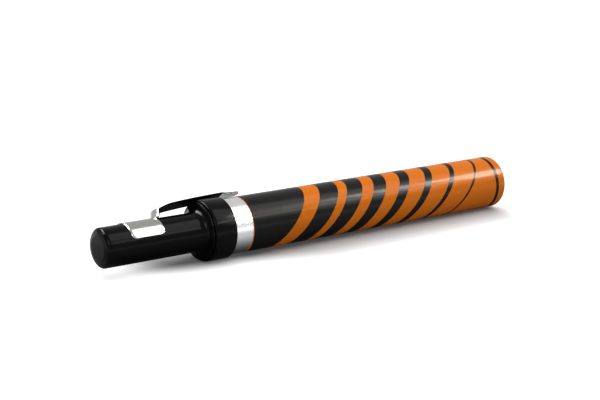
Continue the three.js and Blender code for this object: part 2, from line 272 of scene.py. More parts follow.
def blendColours(tree, share, low, high):
    ends = [(*value, 1) if isinstance(value, tuple) else value for value in (low, high)]
    return addNode(tree, "ShaderNodeMix", {0: share, 6: ends[0], 7: ends[1]}, data_type="RGBA").outputs[2]


# A surface's relief, with its depth in metres.
def bumpFrom(tree, height, strength, depth=0.00002):
    return addNode(tree, "ShaderNodeBump", {"Height": height, "Strength": strength, "Distance": depth})


# Fine lines: Along and Across are how many there are in a millimetre each way.
def makeGrainGroup():
    group, given, out = newTree("fineGrain", "ShaderNodeTree", {
        "Vector": "Vector", "Along": "Float", "Across": "Float"}, {"Grain": "Float"})
    scale = addNode(group, "ShaderNodeCombineXYZ", {
        "X": given["Along"], "Y": given["Across"], "Z": given["Across"]})
    spread = addNode(group, "ShaderNodeVectorMath", {0: given["Vector"], 1: scale}, operation="MULTIPLY")
    setInputs(out, {"Grain": noise(group, spread, 1.0, 3.0, 0.6)})
    return group


# Each mark's noise, and from where to where its mask rises
markLooks = {
    "Smear": {"detail": 4.0, "roughness": 0.55, "distortion": 0.6, "mask": (0.35, 0.7)},
    "Scratch": {"detail": 5.0, "roughness": 0.7, "distortion": 0.3, "mask": (0.66, 0.72)},
    "Speck": {"detail": 1.0, "roughness": 0.5, "distortion": 0.0, "mask": (0.72, 0.78)},
}


# What handling leaves: broad smears, fine scratches and specks.
def makeHandlingGroup(speckScale=4.5):
    group, given, out = newTree("handlingMarks", "ShaderNodeTree", {
        "Vector": "Vector", "Smear Scale": "Float", "Scratch Scale": "Float"}, {
        mark: "Float" for mark in markLooks})
    place = given["Vector"]
    bent = addNode(group, "ShaderNodeMapping", {
        "Vector": place, "Rotation": (0.5, 0.3, 0.8), "Scale": (0.12, 2.2, 2.2)})
    sources = {"Smear": (place, given["Smear Scale"]), "Scratch": (bent, given["Scratch Scale"]),
               "Speck": (place, speckScale)}
    for mark, look in markLooks.items():
        found = noise(group, *sources[mark], look["detail"], look["roughness"], look["distortion"])
        setInputs(out, {mark: mask(group, found, *look["mask"])})
    return group


fineGrain = makeGrainGroup()
handlingMarks = makeHandlingGroup()


# A material with its shader and its place in millimetres.
def startMaterial(name, fixed):
    material = bpy.data.materials.new(name)
    material.use_nodes = True
    tree = material.node_tree
    shader = tree.nodes["Principled BSDF"]
    setInputs(shader, fixed)
    place = addNode(tree, "ShaderNodeTexCoord")
    inMillimetres = addNode(tree, "ShaderNodeMapping", {
        "Vector": place.outputs["Object"], "Scale": (1000, 1000, 1000)})
    return material, tree, shader, inMillimetres


# What a shared group puts out in a material.
def useGroup(tree, group, inputs):
    return addNode(tree, "ShaderNodeGroup", inputs, node_tree=group).outputs


def plasticMaterial(name, look):
    material, tree, shader, place = startMaterial(name, look["fixed"])
    marks = useGroup(tree, handlingMarks, {
        "Vector": place, "Smear Scale": look["smearScale"], "Scratch Scale": look["scratchScale"]})
    skin = noise(tree, place, look["skinScale"], 3.0)
    setInputs(shader, {
        "Base Color": blendColours(tree, marks["Scratch"], look["colour"], look["scratched"]),
        "Roughness": between(tree, marks["Smear"], *look["roughness"]),
        "Normal": bumpFrom(tree, skin, look["skin"])})
    return material


# A metal. One with painted shade is painted near black, nearly without metal, where the piece's attribute
# says so: painted shade in place of the dark reflection that the strip's underside and edges show.
def metalMaterial(name, look):
    material, tree, shader, place = startMaterial(name, look["fixed"])
    grain = useGroup(tree, fineGrain, {
        "Vector": place, "Along": look["along"], "Across": look["across"]})["Grain"]
    marks = useGroup(tree, handlingMarks, {"Vector": place, "Smear Scale": look["smearScale"]})
    tint = blendColours(tree, grain, look["dark"], look["light"])
    if "paintedShade" in look:
        paintedShade = addNode(tree, "ShaderNodeAttribute", attribute_name="paintedShade").outputs["Fac"]
        tint = blendColours(tree, paintedShade, tint, look["paintedShade"])
        setInputs(shader, {"Metallic": between(tree, paintedShade, *look["metallic"])})
    grainRough = between(tree, grain, *look["roughness"])
    smearRough = between(tree, marks["Smear"], 0, look["smear"])
    setInputs(shader, {
        "Base Color": tint,
        "Roughness": mathIn(tree)("ADD", grainRough, smearRough),
        "Normal": bumpFrom(tree, grain, look["bump"])})
    return material


def lacquerMaterial(name, look, smearScale=0.18, cloudScale=0.35, peelScale=1.6):
    material, tree, shader, place = startMaterial(name, look["fixed"])
    marks = useGroup(tree, handlingMarks, {"Vector": place, "Smear Scale": smearScale})
    cloud = noise(tree, place, cloudScale, 3.0)
    base = blendColours(tree, cloud, look["deep"], look["pale"])
    peel = noise(tree, place, peelScale, 2.0)
    setInputs(shader, {
        "Base Color": blendColours(tree, marks["Speck"], base, look["worn"]),
        "Roughness": between(tree, marks["Smear"], *look["roughness"]),
        "Normal": bumpFrom(tree, peel, look["peel"])})
    return material


def feltMaterial(name, look):
    material, tree, shader, place = startMaterial(name, look["fixed"])
    fibres = useGroup(tree, fineGrain, {
        "Vector": place, "Along": look["along"], "Across": look["across"]})["Grain"]
    mixed = mathIn(tree)("MULTIPLY", fibres, noise(tree, place, look["fuzzScale"], 4.0))
    setInputs(shader, {
        "Base Color": blendColours(tree, mixed, look["dark"], look["light"]),
        "Normal": bumpFrom(tree, mixed, look["fuzz"], look["fuzzDepth"])})
    return material


materials = {
    "black_plastic": plasticMaterial("capPlastic", {
        "fixed": {"Specular IOR Level": 0.07}, "colour": (0.0022, 0.0022, 0.0021),
        "scratched": (0.008, 0.008, 0.008), "roughness": (0.13, 0.21),
        "smearScale": 0.22, "scratchScale": 0.6, "skinScale": 3.0, "skin": 0.06}),
    "pale_polythene": plasticMaterial("linerPolythene", {
        "fixed": {"Subsurface Weight": 0.15, "Subsurface Scale": 0.001},
        "colour": (0.62, 0.64, 0.63), "scratched": (0.5, 0.52, 0.51), "roughness": (0.4, 0.52),
        "smearScale": 0.3, "scratchScale": 0.7, "skinScale": 2.5, "skin": 0.2}),
    "holder_plastic": plasticMaterial("holderPlastic", {
        "fixed": {"Subsurface Weight": 0.08, "Subsurface Scale": 0.001},
        "colour": (0.66, 0.64, 0.58), "scratched": (0.5, 0.48, 0.43), "roughness": (0.34, 0.48),
        "smearScale": 0.35, "scratchScale": 0.7, "skinScale": 3.5, "skin": 0.15}),
    "seal_rubber": plasticMaterial("sealRubber", {
        "fixed": {"Specular IOR Level": 0.3}, "colour": (0.012, 0.012, 0.013),
        "scratched": (0.03, 0.03, 0.03), "roughness": (0.6, 0.8),
        "smearScale": 0.5, "scratchScale": 0.9, "skinScale": 6.0, "skin": 0.35}),
    "clip_steel": metalMaterial("clipSteel", {
        "fixed": {"Specular IOR Level": 0.0}, "metallic": (1, 0.05),
        # painted shade: near black on the strip's underside and edges, in place of the dark reflection there
        "dark": (0.42, 0.42, 0.4), "light": (0.52, 0.52, 0.495), "paintedShade": (0.004, 0.004, 0.004),
        "roughness": (0.13, 0.2), "smear": 0.04, "smearScale": 0.3,
        "along": 0.3, "across": 9.0, "bump": 0.2}),
    "spring_steel": metalMaterial("springSteel", {
        "fixed": {"Metallic": 1.0}, "dark": (0.42, 0.43, 0.45), "light": (0.56, 0.57, 0.59),
        "roughness": (0.24, 0.36), "smear": 0.05, "smearScale": 0.8,
        "along": 5.0, "across": 5.0, "bump": 0.2}),
    "ball_steel": metalMaterial("ballSteel", {
        "fixed": {"Metallic": 1.0}, "dark": (0.7, 0.71, 0.73), "light": (0.76, 0.77, 0.79),
        "roughness": (0.08, 0.12), "smear": 0.06, "smearScale": 0.9,
        "along": 2.0, "across": 2.0, "bump": 0.03}),
    "bare_aluminium": metalMaterial("drawnAluminium", {
        "fixed": {"Metallic": 1.0}, "dark": (0.84, 0.85, 0.86), "light": (0.93, 0.94, 0.95),
        "roughness": (0.15, 0.22), "smear": 0.05, "smearScale": 0.25,
        "along": 5.0, "across": 0.35, "bump": 0.1}),
    "orange_print": lacquerMaterial("orangeLacquer", {
        "fixed": {"Specular IOR Level": 0.06, "Coat Weight": 0.11, "Coat Roughness": 0.08},
        "deep": (0.62, 0.146, 0.002), "pale": (0.69, 0.168, 0.003), "worn": (0.54, 0.13, 0.003),
        "roughness": (0.2, 0.3), "peel": 0.1}),
    "nib_fibre": feltMaterial("nibFelt", {
        "fixed": {"Roughness": 0.92, "Sheen Weight": 0.25, "Sheen Roughness": 0.6},
        "dark": (0.006, 0.006, 0.007), "light": (0.04, 0.04, 0.045), "along": 0.8, "across": 7.0,
        "fuzzScale": 9.0, "fuzz": 0.9, "fuzzDepth": 0.0001}),
}
blackInk = lacquerMaterial("blackInk", {
    "fixed": {"Specular IOR Level": 0.08, "Coat Weight": 0.08, "Coat Roughness": 0.1},
    "deep": (0.004, 0.004, 0.0037), "pale": (0.006, 0.006, 0.0055), "worn": (0.012, 0.012, 0.011),
    "roughness": (0.24, 0.34), "peel": 0.1})
print("materials: done")


# The cap

capSizes = {
    "noseRadius": 5.6, "faceRadius": 3.5, "faceDome": 0.08, "edge": (0.4, 4.85, 1.0), "noseFront": 2.2,
    "noseLength": 29.5, "flareRadius": 7.8, "flareEnd": 31.7, "creaseRadius": 7.66,
    "lipFront": 31.8, "lipRadius": 8.15, "lipRound": 0.25, "lipEnd": 32.25,
    "grooveSlope": 0.02, "grooveRadius": 7.8, "grooveEnd": 32.55,
    "shoulderStep": 0.1, "shoulderRadius": 8.3, "shoulderLength": 0.8,
    "skirtRadius": 8.75, "skirtEdge": 0.3, "rear": 39.5, "skirtBore": 8.15,
    "seat": 34.45, "neckRadius": 5.9, "noseBore": 4.6, "endWall": 1.2,
    "pocketFront": 7.95, "pocketRear": 18.48, "pocketWrap": 99.2, "pocketCorner": 1.5,
    "pocketDepth": 0.4, "wallSlope": 0.11,
    "notchFront": 17.48, "notchRear": 20.0, "notchWidth": 7.2, "notchCorner": 0.4,
    "ridgeFront": 7.35, "ridgeRear": 8.45, "ridgeWrap": 50, "ridgeCorner": 0.4,
    "ridgeSlope": 0.4, "ridgeHeight": 0.2,
}
# Rows along the nose, closer at the pocket's walls: from, to and step
noseRows = [
    (6.6, 7.75, 0.08), (7.75, 8.25, 0.035), (8.25, 9.45, 0.12), (9.45, 17.0, 0.78), (17.0, 18.2, 0.12),
    (18.2, 18.7, 0.035), (18.7, 19.7, 0.1), (19.7, 20.3, 0.035), (20.3, 20.9, 0.15)]
# Columns round it, closer at the sides of the pocket and the notch, in degrees
noseColumns = {
    "step": 1.5, "pocketReach": 1.6, "notchReach": 1.0, "edgeCount": 4, "fineStep": 0.9, "fineCount": 11,
}


# How far a point of the nose lies inside a patch with rounded corners.
def intoPatch(along, across, front, rear, halfWidth, corner):
    awayX = abs(along - (front + rear) / 2) - (rear - front) / 2 + corner
    awayY = abs(across) - halfWidth + corner
    outside = math.hypot(max(awayX, 0), max(awayY, 0))
    return corner - outside - min(max(awayX, awayY), 0)


# The ridge, the pocket for the clip and the notch under the clip's bend.
def noseRelief(along, turn):
    s = capSizes
    fromClip = (turn - clipRoll + 180) % 360 - 180
    across = math.radians(fromClip) * s["noseRadius"]
    halfPocket = math.radians(s["pocketWrap"]) * s["noseRadius"]
    halfRidge = math.radians(s["ridgeWrap"]) * s["noseRadius"]
    pocket = intoPatch(along, across, s["pocketFront"], s["pocketRear"], halfPocket, s["pocketCorner"])
    notch = intoPatch(along, across, s["notchFront"], s["notchRear"], s["notchWidth"] / 2, s["notchCorner"])
    ridge = intoPatch(along, across, s["ridgeFront"], s["ridgeRear"], halfRidge, s["ridgeCorner"])
    sunk = smoothStep(max(pocket, notch) / s["wallSlope"] + 0.5)
    raised = smoothStep(ridge / s["ridgeSlope"]) * (1 - sunk)
    return s["ridgeHeight"] * raised - s["pocketDepth"] * sunk


def capTurns():
    s, columns = capSizes, noseColumns
    notchEdge = math.degrees(s["notchWidth"] / 2 / s["noseRadius"])
    oneSide = [i * columns["step"] for i in range(int(180 / columns["step"]) + 1)]
    count = columns["edgeCount"]
    for edge, reach in ((s["pocketWrap"], columns["pocketReach"]), (notchEdge, columns["notchReach"])):
        oneSide += [edge + reach * i / count for i in range(-count, count + 1)]
    inner = s["pocketWrap"] - columns["pocketReach"]
    oneSide += [inner - i * columns["fineStep"] for i in range(1, columns["fineCount"] + 1)]
    turns = set(round(side * turn, 3) for turn in oneSide for side in (-1, 1))
    return [turn + clipRoll for turn in sorted(turns) if turn < 180]


def makeCapShell():
    s = capSizes
    edgeFront, edgeRadius, edgeRear = s["edge"]
    front = rounded([
        (0, 0, 0), (s["faceDome"], s["faceRadius"], 0.3), (edgeFront, edgeRadius, 0.9),
        (edgeRear, s["noseRadius"], 0.9), (s["noseFront"], s["noseRadius"], 0)], 6)
    relief = []
    for start, end, step in noseRows:
        count = round((end - start) / step)
        relief += [(lerp(start, end, i / count), s["noseRadius"]) for i in range(count)]
    flare = ellipse(s["noseLength"], s["flareRadius"], s["flareEnd"] - s["noseLength"],
                    s["flareRadius"] - s["noseRadius"], -90, -10, 22)
    lip = rounded([
        (*flare[-1], 0), (s["lipFront"], s["creaseRadius"], 0.03),
        (s["lipFront"], s["lipRadius"], s["lipRound"]), (s["lipEnd"], s["lipRadius"], 0.1),
        (s["lipEnd"] + s["grooveSlope"], s["grooveRadius"], 0.06),
        (s["grooveEnd"], s["grooveRadius"], 0.06),
        (s["grooveEnd"], s["shoulderRadius"] - s["shoulderStep"], 0)], 5)[1:]
    shoulder = ellipse(s["grooveEnd"] + s["shoulderLength"], s["shoulderRadius"], s["shoulderLength"],
                       s["skirtRadius"] - s["shoulderRadius"], 180, 90, 14)
    rim = ellipse(s["rear"] - s["skirtEdge"], s["skirtRadius"] - s["skirtEdge"],
                  s["skirtEdge"], s["skirtEdge"], 90, 0, 6)
    inside = rounded([
        (*rim[-1], 0), (s["rear"], s["skirtBore"], 0.12), (s["seat"], s["skirtBore"], 0.1),
        (s["seat"], s["neckRadius"], 0.2), (s["noseLength"], s["noseBore"], 0.4),
        (s["endWall"], s["noseBore"], 0.3), (s["endWall"], 0, 0)], 3)[1:]
    reliefRows = range(len(front), len(front) + len(relief))

    def shape(row, along, turn):
        return noseRelief(along, turn) if row in reliefRows else 0

    outline = front + relief + flare + lip + shoulder + rim + inside
    settle(revolve("cap_shell_smooth", outline, capTurns(), shape), "cap", "black_plastic", ["cap_shell"])


makeCapShell()

linerSizes = {
    "front": 1.5, "rear": 17.2, "inner": 3.7, "outer": 4.4, "endWall": 0.8, "mouth": 3.95, "mouthLength": 0.7,
}


def makeCapLiner():
    s = linerSizes
    floor = s["front"] + s["endWall"]
    turnPiece("cap_liner_smooth", "cap_liner", "cap", "pale_polythene", rounded([
        (s["front"], 0, 0), (s["front"], s["outer"], 0.35), (s["rear"], s["outer"], 0.1),
        (s["rear"], s["mouth"], 0.08), (s["rear"] - s["mouthLength"], s["inner"], 0.3),
        (floor, s["inner"], 0.3), (floor, 0, 0)]), 128)


makeCapLiner()
print("cap: done")


# The clip is one strip: a saddle wrapped on the nose, and an arm that bends up out of its rear edge

clipSizes = {
    "thickness": 0.45, "middleRadius": 5.625, "front": 8.3, "rear": 18.3, "wrap": 98, "corner": 1.35,
    "rollDrop": 0.2, "rollLength": 0.35,
    "rootWidth": 6.0, "rootFillet": 0.25, "footBend": 0.9, "topBend": 0.9, "steepness": 72, "rise": 2.45,
    "curlLength": 5.0, "bow": 0.08, "bowEnd": 34.6, "restHeight": 8.995,
    "seatEnd": 42.0, "seatRise": 0.2, "seatWidth": 5.4,
    "tipReach": 49.0, "tipWidth": 3.9, "tipEndWidth": 3.0, "tipNarrowing": 2.2, "tipLift": 0.05,
    "tipEndTurn": 86, "edgeRound": 0.1, "flexStart": 18.4, "flexEnd": 20.0, "flexRadius": 5.8,
}
# How finely the strip is cut
clipSteps = {
    "across": 12, "side": 12, "corner": 8, "saddle": 14, "foot": 8, "top": 12, "bow": 24, "seat": 4,
    "tip": 20, "tipEnd": 8,
}
rollShares = [0, 0.004, 0.009, 0.015, 0.022, 0.03, 0.04]  # rows where the saddle's front edge rolls down
# The painted shade: near black painted on the strip's underside and edges in place of the dark reflection
# there. Where it starts on the underside and the edges, and its strength on the tip, where it dims the glint.
paintedShadeRules = {
    "front": 18.35, "edgeFront": 18.5, "tipFront": 42.4, "tipUnder": 0.1, "tipEdge": 0.85,
    "edgeNormal": 0.6, "underNormal": -0.2,
}


# Places across the saddle, with a middle block that goes on as the arm.
def saddleColumns():
    s = clipSizes
    halfWrap = math.radians(s["wrap"]) * s["middleRadius"]
    halfRoot = s["rootWidth"] / 2 + s["rootFillet"]
    bendStart = halfWrap - s["corner"]
    middle = [lerp(-halfRoot, halfRoot, share) for share in [0] + cuts(clipSteps["across"])]
    side = [lerp(halfRoot, bendStart, share) for share in cuts(clipSteps["side"])]
    side += [bendStart + s["corner"] * math.sin(math.pi / 2 * share) for share in cuts(clipSteps["corner"])]
    return [-place for place in reversed(side)] + middle + side, len(side)


# Along, height, slope, width and curl of the arm's middle line, from the saddle's edge to the tip.
def armStations():
    s = clipSizes
    stations = []
    steep = math.radians(s["steepness"])
    bends = s["footBend"] + s["topBend"]
    rampRun = (s["rise"] - bends * (1 - math.cos(steep))) / math.tan(steep)
    root = s["rear"] + bends * math.sin(steep) + rampRun
    rootHeight = s["middleRadius"] + s["rise"]

    def widthAt(along):
        return lerp(s["rootWidth"], s["seatWidth"], (along - root) / (s["seatEnd"] - root))

    for share in cuts(clipSteps["foot"]):
        slope = steep * share
        along = s["rear"] + s["footBend"] * math.sin(slope)
        sideways = max(0, 1 - (along - s["rear"]) / s["rootFillet"])
        width = s["rootWidth"] + 2 * s["rootFillet"] * (1 - math.sqrt(1 - sideways ** 2))
        height = s["middleRadius"] + s["footBend"] * (1 - math.cos(slope))
        stations.append((along, height, slope, width, 1))
    for share in [0] + cuts(clipSteps["top"]):
        slope = steep * (1 - share)
        along = root - s["topBend"] * math.sin(slope)
        height = rootHeight - s["topBend"] * (1 - math.cos(slope))
        stations.append((along, height, slope, s["rootWidth"], 1))
    run = s["bowEnd"] - root
    rise = s["restHeight"] - rootHeight
    for share in cuts(clipSteps["bow"]):
        along = root + run * share
        height = rootHeight + rise * share + 4 * s["bow"] * share * (1 - share)
        slope = math.atan((rise + 4 * s["bow"] * (1 - 2 * share)) / run) if share < 1 else 0
        curl = max(0, 1 - (along - root) / s["curlLength"]) ** 2
        stations.append((along, height, slope, widthAt(along), curl))
    seatTop = s["restHeight"] + s["seatRise"]
    for share in cuts(clipSteps["seat"]):
        along = lerp(s["bowEnd"], s["seatEnd"], share)
        stations.append((along, lerp(s["restHeight"], seatTop, share), 0, widthAt(along), 0))
    reach = s["tipReach"] - s["seatEnd"]
    endRadius = s["tipEndWidth"] / 2
    straight = reach - endRadius
    slope = math.atan(s["tipLift"] / reach)
    for share in cuts(clipSteps["tip"]):
        past = straight * share
        narrowed = min(1, past / s["tipNarrowing"])
        width = lerp(s["tipWidth"], s["seatWidth"], 0.5 + 0.5 * math.cos(math.pi * narrowed))
        taper = max(0, past - s["tipNarrowing"]) / (straight - s["tipNarrowing"])
        width = lerp(width, s["tipEndWidth"], smoothStep(taper))
        height = seatTop + s["tipLift"] * past / reach
        stations.append((s["seatEnd"] + past, height, slope * smoothStep(past), width, 0))
    for share in cuts(clipSteps["tipEnd"]):
        turn = math.radians(s["tipEndTurn"] * share)
        past = straight + endRadius * math.sin(turn)
        height = seatTop + s["tipLift"] * past / reach
        stations.append((s["seatEnd"] + past, height, slope, s["tipEndWidth"] * math.cos(turn), 0))
    return stations


# The strip's middle surface, without thickness.
def clipSheet():
    s = clipSizes
    columns, sides = saddleColumns()
    halfWrap = columns[-1]
    points, faces = [], []
    shares = rollShares + [lerp(rollShares[-1], 1, share) for share in cuts(clipSteps["saddle"])]
    for share in shares:
        for across in columns:
            past = max(0, abs(across) - halfWrap + s["corner"])
            inset = s["corner"] - math.sqrt(max(0, s["corner"] ** 2 - past ** 2))
            along = lerp(s["front"] + inset, s["rear"] - inset, share)
            rolled = max(0, 1 - (along - s["front"] - inset) / s["rollLength"])
            radius = s["middleRadius"] - s["rollDrop"] * rolled ** 2
            points.append(onPen(along, radius, -math.degrees(across / s["middleRadius"])))
    width = len(columns)
    lastRow = width * (len(shares) - 1)
    for start in range(0, lastRow, width):
        for corner in range(start, start + width - 1):
            faces.append((corner, corner + width, corner + width + 1, corner + 1))
    steps = clipSteps["across"]
    below = range(lastRow + sides, lastRow + sides + steps + 1)
    for along, height, slope, armWidth, curl in armStations():
        above = range(len(points), len(points) + steps + 1)
        for i in range(steps + 1):
            across = armWidth * (i / steps - 0.5)
            sag = curl * (s["middleRadius"] - math.sqrt(s["middleRadius"] ** 2 - across ** 2))
            points.append((along + sag * math.sin(slope), across, height - sag * math.cos(slope)))
        for i in range(steps):
            faces.append((below[i], above[i], above[i + 1], below[i + 1]))
        below = above
    return toObject("clip_strip", points, faces)


# Marks the faces that get painted shade, a near black in place of their dark reflection, while the clip
# still stands upright.
def markPaintedShade(made):
    s = paintedShadeRules
    paintedShade = made.data.attributes.new("paintedShade", "FLOAT", "FACE")
    for face in made.data.polygons:
        isEdge = abs(face.normal.y) > s["edgeNormal"]
        isUnder = face.normal.z <= s["underNormal"]
        start = s["edgeFront"] if isEdge else s["front"]
        if face.center.x < start or not (isEdge or isUnder):
            continue
        onTip = s["tipEdge"] if isEdge else s["tipUnder"]
        paintedShade.data[face.index].value = 1 if face.center.x < s["tipFront"] else onTip


def makeClip():
    s = clipSizes
    made = clipSheet()
    turnOut(made)
    addModifier(made, "SOLIDIFY", thickness=s["thickness"], offset=0, use_even_offset=True)
    addModifier(made, "BEVEL", width=s["edgeRound"], segments=3, limit_method="ANGLE",
                angle_limit=math.radians(50), use_clamp_overlap=True, harden_normals=False)
    applyModifiers(made)
    markPaintedShade(made)
    made.data.transform(Matrix.Rotation(math.radians(clipRoll), 4, "X"))
    mergeAndTurnOut(made, sharpAngle=60)
    settle(made, None, "clip_steel", ["clip_saddle", "clip_arm"])
    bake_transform(made)


makeClip()
print("clip: done")


# The nib and the valve

nibSizes = {"tip": 7.1, "shoulder": 2.6, "radius": 2.25, "rear": 36.95, "chamfer": 0.5}


def makeNib():
    s = nibSizes
    tip = ellipse(s["tip"] + s["shoulder"], 0, s["shoulder"], s["radius"], 180, 90, 16)
    turnPiece("nib_felt", "nib", "nib", "nib_fibre", tip + [
        (s["rear"] - s["chamfer"], s["radius"]), (s["rear"], s["radius"] - s["chamfer"]), (s["rear"], 0)])


makeNib()

holderSizes = {
    "front": 12.2, "bore": 2.45, "tubeRadius": 3.5, "coneFront": 28.9, "coneRadius": 5.5,
    "flangeFront": 34.75, "flangeRear": 35.75, "flangeRadius": 7.9, "plugRadius": 7.0,
    "rear": 47.95, "chamberRadius": 5.0, "chamberFront": 38.95,
}


def makeNibHolder():
    s = holderSizes
    turnPiece("nib_holder_smooth", "nib_holder", "body", "holder_plastic", rounded([
        (s["front"], s["bore"], 0.15), (s["front"], s["tubeRadius"], 0.4),
        (s["coneFront"], s["tubeRadius"], 0.8), (s["flangeFront"], s["coneRadius"], 0.2),
        (s["flangeFront"], s["flangeRadius"], 0.12), (s["flangeRear"], s["flangeRadius"], 0.12),
        (s["flangeRear"], s["plugRadius"], 0.1), (s["rear"], s["plugRadius"], 0.4),
        (s["rear"], s["chamberRadius"], 0.15), (s["chamberFront"], s["chamberRadius"], 0.3),
        (s["chamberFront"], s["bore"], 0.15), (s["front"], s["bore"], 0.15)]), 128)


makeNibHolder()

# Rings: front, rear, inner and outer radius, the rounding of their corners and their body
ringSizes = {
    "mouth_gasket": (35.95, 36.55, 7.2, 7.9, 0.15, "body"),
    "valve_seat": (39.15, 40.35, 1.9, 4.8, 0.2, "body"),
    "plunger_seal": (40.55, 41.25, 1.6, 2.65, 0.2, "plunger"),
}
for ringName, (ringFront, ringRear, inner, outer, bend, body) in ringSizes.items():
    turnPiece(ringName + "_smooth", ringName, body, "seal_rubber", rounded([
        (ringFront, inner, bend), (ringFront, outer, bend), (ringRear, outer, bend),
        (ringRear, inner, bend), (ringFront, inner, bend)]))

plungerSizes = {
    "pinFront": 37.25, "pinRadius": 1.4, "headFront": 41.45, "headRear": 42.65, "headRadius": 2.8,
    "stemRadius": 1.3, "stemRear": 46.15,
}


def makePlunger():
    s = plungerSizes
    turnPiece("valve_plunger_smooth", "valve_plunger", "plunger", "holder_plastic", rounded([
        (s["pinFront"], 0, 0), (s["pinFront"], s["pinRadius"], 0.3), (s["headFront"], s["pinRadius"], 0.1),
        (s["headFront"], s["headRadius"], 0.15), (s["headRear"], s["headRadius"], 0.25),
        (s["headRear"], s["stemRadius"], 0.2), (s["stemRear"], s["stemRadius"], 0.4),
        (s["stemRear"], 0, 0)]))


makePlunger()

cageSizes = {
    "front": 44.95, "inner": 4.0, "outer": 4.8, "flangeFront": 48.15, "flangeRear": 48.95,
    "flangeRadius": 6.6, "floor": 49.45, "rear": 50.45, "hole": 1.5,
}


def makeSpringCage():
    s = cageSizes
    turnPiece("spring_cage_smooth", "spring_cage", "body", "pale_polythene", rounded([
        (s["front"], s["inner"], 0.15), (s["front"], s["outer"], 0.25), (s["flangeFront"], s["outer"], 0.1),
        (s["flangeFront"], s["flangeRadius"], 0.2), (s["flangeRear"], s["flangeRadius"], 0.2),
        (s["flangeRear"], s["outer"], 0.1), (s["rear"], s["outer"], 0.3), (s["rear"], s["hole"], 0.15),
        (s["floor"], s["hole"], 0.15), (s["floor"], s["inner"], 0.3), (s["front"], s["inner"], 0.15)]))


makeSpringCage()

springSizes = {
    "front": 42.85, "length": 6.4, "turns": 6, "closedTurns": 0.75, "radius": 1.95, "wire": 0.5,
    "stroke": 1.8, "pathPoints": 320, "wireSides": 12,
}


# The tree's end: plain faces in one finish.
def endTree(tree, geometry, finish, out):
    whole = addNode(tree, "GeometryNodeRealizeInstances", {"Geometry": geometry})
    finished = addNode(tree, "GeometryNodeSetMaterial", {"Geometry": whole, "Material": finish})
    setInputs(out, {0: finished})


# A helix of wire whose end turns lie close, from its sizes.
def springTree():
    floats = ("Front", "Length", "Turns", "Closed Turns", "Radius", "Wire")
    tree, size, out = newTree("coilSpring", "GeometryNodeTree", {
        **{label: "Float" for label in floats}, "Path Points": "Int", "Wire Sides": "Int",
        "Wire Finish": "Material"}, {"Geometry": "Geometry"})
    calculate = mathIn(tree)
    closePitch = 1.9  # what the turns rise by as if they all lay close, in thicknesses of the wire
    line = addNode(tree, "GeometryNodeCurvePrimitiveLine")
    fine = addNode(tree, "GeometryNodeResampleCurve", {"Curve": line, "Count": size["Path Points"]})
    share = addNode(tree, "GeometryNodeSplineParameter").outputs["Factor"]
    turn = calculate("MULTIPLY", share, size["Turns"])
    angle = calculate("MULTIPLY", turn, 2 * math.pi)
    closeShare = calculate("DIVIDE", size["Closed Turns"], size["Turns"])
    openEnd = calculate("SUBTRACT", 1.0, closeShare)
    openLength = calculate("SUBTRACT", size["Length"], calculate("MULTIPLY", size["Wire"], closePitch + 1))
    openRise = addNode(tree, "ShaderNodeMapRange", {
        "Value": share, "From Min": closeShare, "From Max": openEnd, "To Max": openLength})
    closeRise = calculate("MULTIPLY", share, calculate("MULTIPLY", size["Wire"], closePitch))
    rise = calculate("ADD", openRise, closeRise)
    halfWire = calculate("MULTIPLY", size["Wire"], 0.5)
    place = addNode(tree, "ShaderNodeCombineXYZ", {
        "X": calculate("ADD", calculate("ADD", rise, size["Front"]), halfWire),
        "Y": calculate("MULTIPLY", size["Radius"], calculate("COSINE", angle)),
        "Z": calculate("MULTIPLY", size["Radius"], calculate("SINE", angle))})
    coil = addNode(tree, "GeometryNodeSetPosition", {"Geometry": fine, "Position": place})
    section = addNode(tree, "GeometryNodeCurvePrimitiveCircle", {
        "Resolution": size["Wire Sides"], "Radius": halfWire})
    wire = addNode(tree, "GeometryNodeCurveToMesh", {
        "Curve": coil, "Profile Curve": section, "Fill Caps": True})
    endTree(tree, wire, size["Wire Finish"], out)
    return tree


# The plain mesh that a tree makes from its named inputs.
def makeFromTree(name, tree, inputs):
    made = toObject(name, [], [])
    modifier = addModifier(made, "NODES", node_group=tree)
    for item in tree.interface.items_tree:
        if item.in_out == "INPUT" and item.name in inputs:
            modifier[item.identifier] = inputs[item.name]
    applyModifiers(made)
    return made


def makeSpring():
    s = springSizes
    made = makeFromTree("valve_spring_wire", springTree(), {
        "Front": s["front"], "Length": s["length"], "Turns": float(s["turns"]),
        "Closed Turns": s["closedTurns"], "Radius": s["radius"], "Wire": s["wire"],
        "Path Points": s["pathPoints"], "Wire Sides": s["wireSides"],
        "Wire Finish": materials["spring_steel"]})
    mergeAndTurnOut(made, sharpAngle=60)
    settle(made, "body", "spring_steel", ["valve_spring"])
    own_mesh(made)


makeSpring()

ballSizes = {"radius": 2.4, "along": 139.2, "below": 4.65, "subdivisions": 5}


def makeBall():
    s = ballSizes
    work = bmesh.new()
    bmesh.ops.create_icosphere(work, subdivisions=s["subdivisions"], radius=s["radius"])
    bmesh.ops.translate(work, verts=work.verts, vec=(s["along"], 0, -s["below"]))
    made = toObject("mixing_ball_smooth", [], [])
    work.to_mesh(made.data)
    work.free()
    made.data.shade_smooth()
    settle(made, "ball", "ball_steel", ["mixing_ball"])


makeBall()
print("nib and valve: done")


# The barrel

barrelSizes = {
    "mouth": 36.75, "bore": 7.2, "radius": 7.965, "sideEnd": 141.5, "edge": 141.6, "edgeRadius": 6.8,
    "rear": 142.8, "endWall": 0.9, "endSunk": 0.035,
    "dimpleRadius": 0.8, "dimpleBevel": 0.1, "dimpleDepth": 0.2,
    "printFront": 45.3, "lacquerRadius": 8.0, "lacquerDepth": 0.02, "lacquerEdge": 0.06, "inkRadius": 8.015,
    "turns": 192,
}


